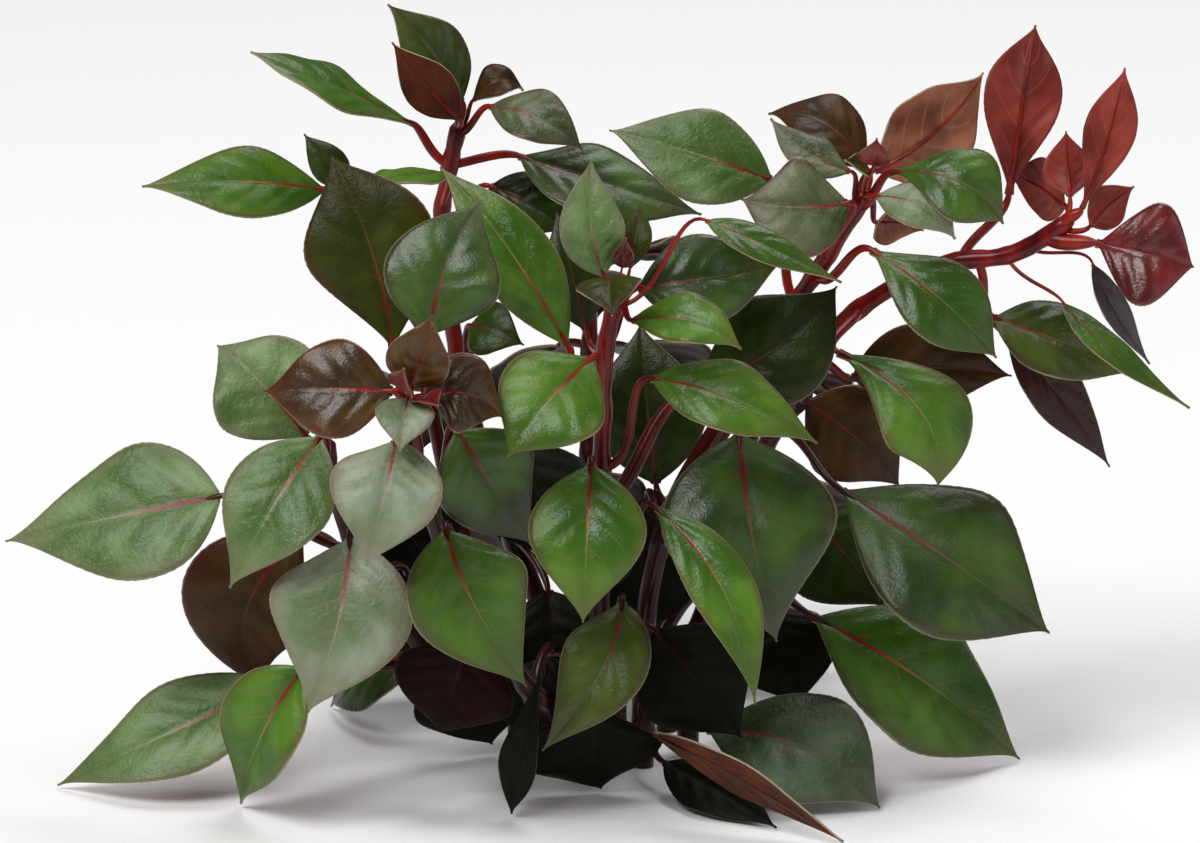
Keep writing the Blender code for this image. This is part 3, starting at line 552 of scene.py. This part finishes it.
def add(tree, kind, feeds=None, **settings):
    """Adds a node with its settings, and feeds its inputs with values, sockets or other nodes' first outputs."""
    node = tree.nodes.new("ShaderNode" + kind)
    for name, value in settings.items():
        setattr(node, name, value)
    for key, value in (feeds or {}).items():
        if isinstance(value, bpy.types.Node):
            value = value.outputs[0]
        if isinstance(value, bpy.types.NodeSocket):
            tree.links.new(value, node.inputs[key])
        else:
            node.inputs[key].default_value = value
    return node


def new_look(name, roughness, specular=0.5, coat=0.0, coat_roughness=0.3):
    """A material with its shader, its tree and the shader's settings that are the same all over."""
    look = bpy.data.materials.new(name)
    look.use_nodes = True
    tree = look.node_tree
    shader = tree.nodes["Principled BSDF"]
    shader.inputs["Roughness"].default_value = roughness
    shader.inputs["Specular IOR Level"].default_value = specular
    shader.inputs["Coat Weight"].default_value = coat
    shader.inputs["Coat Roughness"].default_value = coat_roughness
    return look, tree, shader


def blade_places(tree):
    """Where a point is: in space, along the blade, out from its midrib, and from its nearest side vein."""
    here = add(tree, "TexCoord").outputs["Object"]
    uv = add(tree, "SeparateXYZ", {0: add(tree, "UVMap", uv_map="UVMap")})
    u, v = uv.outputs[0], uv.outputs[1]
    twice = add(tree, "Math", {0: v, 1: 2.0, 2: -1.0}, operation="MULTIPLY_ADD")
    across = add(tree, "Math", {0: twice}, operation="ABSOLUTE")
    swept = add(tree, "Math", {0: across, 1: VEIN_CURVE}, operation="POWER")
    behind = add(tree, "Math", {0: swept, 1: -VEIN_SWEEP, 2: u}, operation="MULTIPLY_ADD")
    count = add(tree, "Math", {0: behind, 1: VEINS}, operation="MULTIPLY")
    nearness = add(tree, "Math", {0: count, 1: 0.5}, operation="PINGPONG")
    return here, u, across, nearness


def blade_upper(
    name, deep, light, margin, vein, vein_end, roughness=0.36, specular=0.4, coat=0.0, dry=0.5, wrinkle=1.2, grit=1.8
):
    """Waxy leaf cuticle: soft blotches between deep and light, a darker margin, pale side veins and a red midrib; on
    the grey-green kinds the light colour is a painted sheen.
    dry is how far its edge has dried, wrinkle how deeply it is creased and grit how rough its grain is."""
    look, tree, shader = new_look(name, roughness, specular, coat, 0.4)
    here, u, across, nearness = blade_places(tree)
    # The blotches mix deep into light, more strongly away from the midrib; on the grey-green kinds light is a painted
    # sheen
    blotch = add(tree, "TexNoise", {"Vector": here, "Scale": 1 / (11 * MM), "Detail": 3.0, "Roughness": 0.55})
    soft = add(tree, "MapRange", {0: blotch, 1: 0.36, 2: 0.66, 3: 0.0, 4: 1.0}, interpolation_type="SMOOTHSTEP")
    body = add(tree, "MapRange", {0: across, 1: 0.0, 2: 0.45, 3: 0.55, 4: 1.0}, interpolation_type="SMOOTHSTEP")
    soft = add(tree, "Math", {0: soft, 1: body}, operation="MULTIPLY")
    colour = add(tree, "MixRGB", {0: soft, 1: linear(deep), 2: linear(light)})
    line = add(tree, "MapRange", {0: nearness, 1: 0.0, 2: 0.06, 3: 1.0, 4: 0.0}, interpolation_type="SMOOTHSTEP")
    inner = add(tree, "MapRange", {0: across, 1: 0.55, 2: 0.9, 3: 1.0, 4: 0.0}, interpolation_type="SMOOTHSTEP")
    line = add(tree, "Math", {0: line, 1: inner}, operation="MULTIPLY")
    pale = add(tree, "Math", {0: line, 1: 0.12}, operation="MULTIPLY")
    colour = add(tree, "MixRGB", {0: pale, 1: colour, 2: linear(vein_end)})
    edge = add(tree, "MapRange", {0: across, 1: 0.72, 2: 1.0, 3: 0.0, 4: 1.0}, interpolation_type="SMOOTHSTEP")
    tipward = add(tree, "MapRange", {0: u, 1: 0.62, 2: 1.0, 3: 0.0, 4: 0.85}, interpolation_type="SMOOTHSTEP")
    edge = add(tree, "Math", {0: edge, 1: tipward}, operation="MAXIMUM")
    broken = add(tree, "MapRange", {0: blotch, 1: 0.3, 2: 0.6, 3: 0.35, 4: 1.0})
    edge = add(tree, "Math", {0: edge, 1: broken}, operation="MULTIPLY")
    colour = add(tree, "MixRGB", {0: edge, 1: colour, 2: linear(margin)})
    near_base = add(tree, "MapRange", {0: u, 1: 0.1, 2: 0.5, 3: 0.85, 4: 0.0}, interpolation_type="SMOOTHSTEP")
    reach = add(tree, "MapRange", {0: across, 1: 0.06, 2: 0.34, 3: 1.0, 4: 0.0}, interpolation_type="SMOOTHSTEP")
    branch = add(tree, "Math", {0: line, 1: near_base}, operation="MULTIPLY")
    branch = add(tree, "Math", {0: branch, 1: reach}, operation="MULTIPLY")
    rib_edge = add(tree, "MapRange", {0: u, 1: 0.0, 2: 0.5, 3: 0.095, 4: 0.017})
    rib_core = add(tree, "Math", {0: rib_edge, 1: 0.45}, operation="MULTIPLY")
    rib = add(
        tree, "MapRange", {0: across, 1: rib_core, 2: rib_edge, 3: 1.0, 4: 0.0}, interpolation_type="SMOOTHSTEP"
    )
    fade = add(tree, "MapRange", {0: u, 1: 0.3, 2: 0.8, 3: 1.0, 4: 0.1}, interpolation_type="SMOOTHSTEP")
    rib = add(tree, "Math", {0: rib, 1: fade}, operation="MULTIPLY")
    reds = add(tree, "Math", {0: rib, 1: branch}, operation="MAXIMUM")
    to_end = add(tree, "MapRange", {0: u, 1: 0.18, 2: 0.6, 3: 0.0, 4: 1.0}, interpolation_type="SMOOTHSTEP")
    rib_colour = add(tree, "MixRGB", {0: to_end, 1: linear(vein), 2: linear(vein_end)})
    colour = add(tree, "MixRGB", {0: reds, 1: colour, 2: rib_colour})
    dried = add(tree, "MapRange", {0: across, 1: 0.965, 2: 0.99, 3: 0.0, 4: dry}, interpolation_type="SMOOTHSTEP")
    colour = add(tree, "MixRGB", {0: dried, 1: colour, 2: linear(DRY_EDGE)})
    tree.links.new(colour.outputs[0], shader.inputs["Base Color"])
    cell = add(tree, "TexVoronoi", {"Vector": here, "Scale": 1 / (0.55 * MM)}, feature="DISTANCE_TO_EDGE")
    # The grain of the skin, drawn coarser than the real one so that it shows
    grain = add(tree, "TexNoise", {"Vector": here, "Scale": 1 / (0.85 * MM), "Detail": 3.0, "Roughness": 0.6})
    crease = add(tree, "TexNoise", {"Vector": here, "Scale": 1 / (2.4 * MM), "Detail": 2.0, "Distortion": 0.6})
    relief = add(tree, "Math", {0: grain, 1: grit}, operation="MULTIPLY")
    relief = add(tree, "Math", {0: cell, 1: 0.5, 2: relief}, operation="MULTIPLY_ADD")
    relief = add(tree, "Math", {0: crease, 1: wrinkle, 2: relief}, operation="MULTIPLY_ADD")
    bump = add(tree, "Bump", {"Height": relief, "Strength": 0.6, "Distance": 0.1 * MM})
    tree.links.new(bump.outputs[0], shader.inputs["Normal"])
    worn = add(tree, "MapRange", {0: blotch, 1: 0.3, 2: 0.7, 3: roughness - 0.06, 4: roughness + 0.08})
    tree.links.new(worn.outputs[0], shader.inputs["Roughness"])
    return look


def blade_under(name, deep, light, vein):
    """The matter underside, whose side veins are a little paler."""
    look, tree, shader = new_look(name, MATTE_UNDERSIDE, 0.2)
    here, _, across, nearness = blade_places(tree)
    blotch = add(tree, "TexNoise", {"Vector": here, "Scale": 1 / (8 * MM), "Detail": 3.0})
    soft = add(tree, "MapRange", {0: blotch, 1: 0.35, 2: 0.65, 3: 0.0, 4: 1.0}, interpolation_type="SMOOTHSTEP")
    colour = add(tree, "MixRGB", {0: soft, 1: linear(deep), 2: linear(light)})
    line = add(tree, "MapRange", {0: nearness, 1: 0.0, 2: 0.1, 3: 0.25, 4: 0.0}, interpolation_type="SMOOTHSTEP")
    inner = add(tree, "MapRange", {0: across, 1: 0.5, 2: 0.95, 3: 1.0, 4: 0.0}, interpolation_type="SMOOTHSTEP")
    line = add(tree, "Math", {0: line, 1: inner}, operation="MULTIPLY")
    colour = add(tree, "MixRGB", {0: line, 1: colour, 2: linear(vein)})
    tree.links.new(colour.outputs[0], shader.inputs["Base Color"])
    grain = add(tree, "TexNoise", {"Vector": here, "Scale": 1 / (0.4 * MM), "Detail": 2.0})
    bump = add(tree, "Bump", {"Height": grain, "Strength": 0.3, "Distance": 0.08 * MM})
    tree.links.new(bump.outputs[0], shader.inputs["Normal"])
    return look


def blade_rim(name, colour):
    """The thin dry edge of a blade."""
    look, tree, shader = new_look(name, 0.5)
    here = add(tree, "TexCoord").outputs["Object"]
    speck = add(tree, "TexNoise", {"Vector": here, "Scale": 1 / (1.5 * MM)})
    dark = [c * 0.55 for c in linear(colour)[:3]] + [1]
    tone = add(tree, "MixRGB", {0: speck, 1: dark, 2: linear(colour)})
    tree.links.new(tone.outputs[0], shader.inputs["Base Color"])
    return look


def stalk_skin(name, low, high, roughness, coat):
    """The smooth skin of stems and stalks: patches drawn out upwards, and darker, nearly black, towards the bottom.
    """
    look, tree, shader = new_look(name, roughness, 0.22, coat, 0.12)
    here = add(tree, "TexCoord").outputs["Object"]
    long = add(tree, "Mapping", {"Vector": here, "Scale": (1, 1, 0.3)})
    patch = add(tree, "TexNoise", {"Vector": long, "Scale": 1 / (3 * MM), "Detail": 4.0})
    soft = add(tree, "MapRange", {0: patch, 1: 0.35, 2: 0.65, 3: 0.0, 4: 1.0})
    colour = add(tree, "MixRGB", {0: soft, 1: linear(low), 2: linear(high)})
    # The skin is drawn darker, nearly black, towards the bottom of the stems
    height = add(tree, "SeparateXYZ", {0: here}).outputs[2]
    low_darkening = add(
        tree, "MapRange", {0: height, 1: DARKEST_BELOW, 2: DARK_FADES_BY, 3: 0.88, 4: 0.0}, interpolation_type="SMOOTHSTEP"
    )
    colour = add(tree, "MixRGB", {0: low_darkening, 1: colour, 2: linear(LOW_STEM_COLOUR)})
    tree.links.new(colour.outputs[0], shader.inputs["Base Color"])
    bump = add(tree, "Bump", {"Height": patch, "Strength": 0.25, "Distance": 0.15 * MM})
    tree.links.new(bump.outputs[0], shader.inputs["Normal"])
    return look


def leaf_looks():
    """Upper side, underside and rim of each kind of leaf."""
    rose = blade_under("rose-brown leaf underside", "#64321c", "#a0644a", "#b47e64")
    rust = blade_under("rust-brown leaf underside", "#3a1606", "#5a260e", "#703c20")
    crimson = blade_under("crimson leaf underside", "#66221a", "#8e382e", "#a4564a")
    rim = blade_rim("dry pinkish leaf rim", "#b09a78")
    # The dark rim goes with the near-black kinds and is painted shade as well
    dark_rim = blade_rim("dark leaf rim", "#34200f")
    red_rim = blade_rim("red leaf rim", "#94483a")

    def upper(name, *colours, **more):
        return blade_upper("waxy " + name + " leaf", *colours, **more)

    bright = upper("bright green", "#305606", "#527a14", "#56561e", "#7c1c0e", "#a08450")
    green = upper("mid green", "#2a4a08", "#466812", "#46441a", "#741810", "#8c6c44")
    # Grey-green: its light colour is painted sheen over a mid green
    painted_sheen = upper(
        "grey-green", "#3e5e1c", "#6e8650", "#6a6848", "#742418", "#a08c6c", roughness=0.42, coat=0.28, grit=5.0
    )
    # Paler grey-green: its light colour is painted sheen, paler than on the grey-green kind
    pale_sheen = upper(
        "pale grey-green", "#5a6c40", "#8a967e", "#7a7056", "#74241c", "#a89080", roughness=0.44, coat=0.34, grit=5.5
    )
    deep = upper("deep green", "#22380a", "#3e5a12", "#38341a", "#681810", "#6e5034", coat=0.15, dry=0.4)
    # Deep green whose grey light colour is painted sheen
    deep_silver = upper(
        "grey-sheened deep green", "#223a0a", "#54684a", "#4c4838", "#681810", "#7c6450", 0.42, coat=0.3, grit=5.0
    )
    dark = upper(
        "dark green", "#182602", "#2c4206", "#2a260a", "#5c1810", "#5c4428", specular=0.24, dry=0.3, wrinkle=0.7
    )
    # Near-black leaves inside the bunch: painted shade over their green
    painted_shade = upper(
        "painted-shade black-green", "#060a00", "#0e1402", "#0a0802", "#200a08", "#20160c", 0.5, 0.12, dry=0.05, wrinkle=0.6
    )
    olive = upper(
        "olive", "#242c00", "#3c4202", "#3e2602", "#641810", "#6c4820", 0.42, 0.18, dry=0.3, wrinkle=0.35
    )
    olive_green = upper("olive green", "#2e3e06", "#4a5c12", "#443a18", "#742010", "#806434")
    # Olive whose grey light colour is painted sheen
    olive_silver = upper(
        "grey olive", "#2c3c0c", "#5e6642", "#523828", "#742018", "#947858", roughness=0.42, coat=0.26, grit=4.0
    )
    brown = upper(
        "brown-olive young", "#2e1c02", "#523a08", "#56240e", "#8c140c", "#8c2c18", 0.34, coat=0.12, wrinkle=0.7
    )
    # Maroon darkened to near black: a dark red-brown leaf colour with painted shade
    maroon = upper(
        "maroon", "#140200", "#220602", "#180402", "#300c08", "#30120c", 0.5, 0.1, dry=0.05, wrinkle=0.6
    )
    bronze = upper("bronze", "#2c1a02", "#4c320a", "#48200c", "#641c10", "#6c4424", 0.42, 0.2, wrinkle=0.6)
    red = upper("crimson", "#480808", "#7a1816", "#5a0c0e", "#80140e", "#903830", roughness=0.28, coat=0.3)
    plum = upper("greyish plum", "#2c2224", "#4c4244", "#34262a", "#5a2c2c", "#6c5450")
    russet = upper("dark russet", "#2a0c06", "#42180e", "#341008", "#5c1810", "#5c2c1c", specular=0.3)
    return {
        "bright": (bright, rose, rim),
        "green": (green, rose, rim),
        "painted_sheen": (painted_sheen, rose, rim),
        "pale_sheen": (pale_sheen, rose, rim),
        "deep": (deep, SHADE_UNDERSIDE, rim),
        "deep silver": (deep_silver, SHADE_UNDERSIDE, rim),
        "dark": (dark, SHADE_UNDERSIDE, rim),
        "painted_shade": (painted_shade, SHADE_UNDERSIDE, dark_rim),
        "olive": (olive, rose, rim),
        "olive green": (olive_green, rose, rim),
        "olive silver": (olive_silver, rose, rim),
        "brown": (brown, rose, rim),
        "maroon": (maroon, SHADE_UNDERSIDE, dark_rim),
        "bronze": (bronze, rose, rim),
        "red": (red, crimson, red_rim),
        "rust": (bronze, rust, rim),
        "plum": (plum, SHADE_UNDERSIDE, rim),
        "russet": (russet, SHADE_UNDERSIDE, rim),
    }


def camera():
    """The camera at the front view's angle and distance."""
    data = bpy.data.cameras.new("front view")
    data.sensor_width = SENSOR_WIDTH
    data.lens = SENSOR_WIDTH * VIEW_DISTANCE / VIEW_WIDTH
    data.clip_start = 0.01
    item = bpy.data.objects.new("front view", data)
    item.location = EYE
    item.rotation_euler = (math.radians(90) - VIEW_TILT, 0, 0)
    bpy.context.scene.collection.objects.link(item)
    bpy.context.scene.camera = item


def soft_light(name, place_at, size, power):
    """A broad lamp that looks at the middle of the bunch."""
    data = bpy.data.lights.new(name, "AREA")
    data.shape = "RECTANGLE"
    data.size, data.size_y = size
    data.energy = power
    item = bpy.data.objects.new(name, data)
    item.location = place_at
    item.rotation_euler = (VIEW_CENTRE - item.location).to_track_quat("-Z", "Y").to_euler()
    bpy.context.scene.collection.objects.link(item)


def studio():
    """A pale floor and soft white light from above the front left."""
    deselect()
    bpy.ops.mesh.primitive_plane_add(size=PAPER_SIZE, location=(0, 0, -PAPER_BELOW_CUTS))
    floor = bpy.context.object
    floor.name = "floor"
    look, _, shader = new_look("pale matt paper", 0.9, 0.2)
    shader.inputs["Base Color"].default_value = (PAPER_WHITE, PAPER_WHITE, PAPER_WHITE, 1)
    floor.data.materials.append(look)
    for name, (place_at, size, power) in LAMPS.items():
        soft_light(name, Vector(place_at), size, power)
    world = bpy.data.worlds.new("soft room")
    world.use_nodes = True
    world.node_tree.nodes["Background"].inputs["Color"].default_value = (1, 1, 1, 1)
    world.node_tree.nodes["Background"].inputs["Strength"].default_value = ROOM_STRENGTH
    bpy.context.scene.world = world
    bpy.context.scene.view_settings.view_transform = "Standard"


def place_piece(item, node):
    """The finished piece stands for its solid and rides with it."""
    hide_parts(node)
    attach(item, "root")


camera()
studio()
# Near-black underside: painted shade, on every leaf of the back stems and on the darker kinds
SHADE_UNDERSIDE = blade_under("dark leaf underside", "#1e0e08", "#38201a", "#54342a")
LOOKS = leaf_looks()
STEM_LOOK = stalk_skin("smooth crimson stem skin", "#400404", "#80120c", 0.3, 0.12)
STALK_LOOK = stalk_skin("smooth red stalk skin", "#560a06", "#901c10", 0.34, 0.1)
grown_blank = blank_blade("flat grown blade", BLADE_ROWS, BLADE_COLUMNS)
young_blank = blank_blade("flat young blade", YOUNG_ROWS, YOUNG_COLUMNS)
for stem_name in STEMS:
    knots = stem_path(stem_name)
    grown, joined = LEAVES.get(stem_name, ()), JOINED.get(stem_name, ())
    node = "stem_" + stem_name
    piece = stem(stem_name, knots, [spec.at for spec in (*grown, *joined)])
    place_piece(piece, node)
    for number, spec in enumerate(grown, 1):
        node = f"leaf_{stem_name}_{number}"
        place_piece(grown_leaf(f"{stem_name}_leaf_{number}", grown_blank, knots, spec), node)
    for number, spec in enumerate(joined, 1):
        node = "stem_" + stem_name
        blank = grown_blank if spec.width > FINE_WIDTH else young_blank
        piece = grown_leaf(f"{stem_name}_young_{number}", blank, knots, spec, joined=True)
        place_piece(piece, node)
for blank in (grown_blank, young_blank):
    bpy.data.objects.remove(blank)
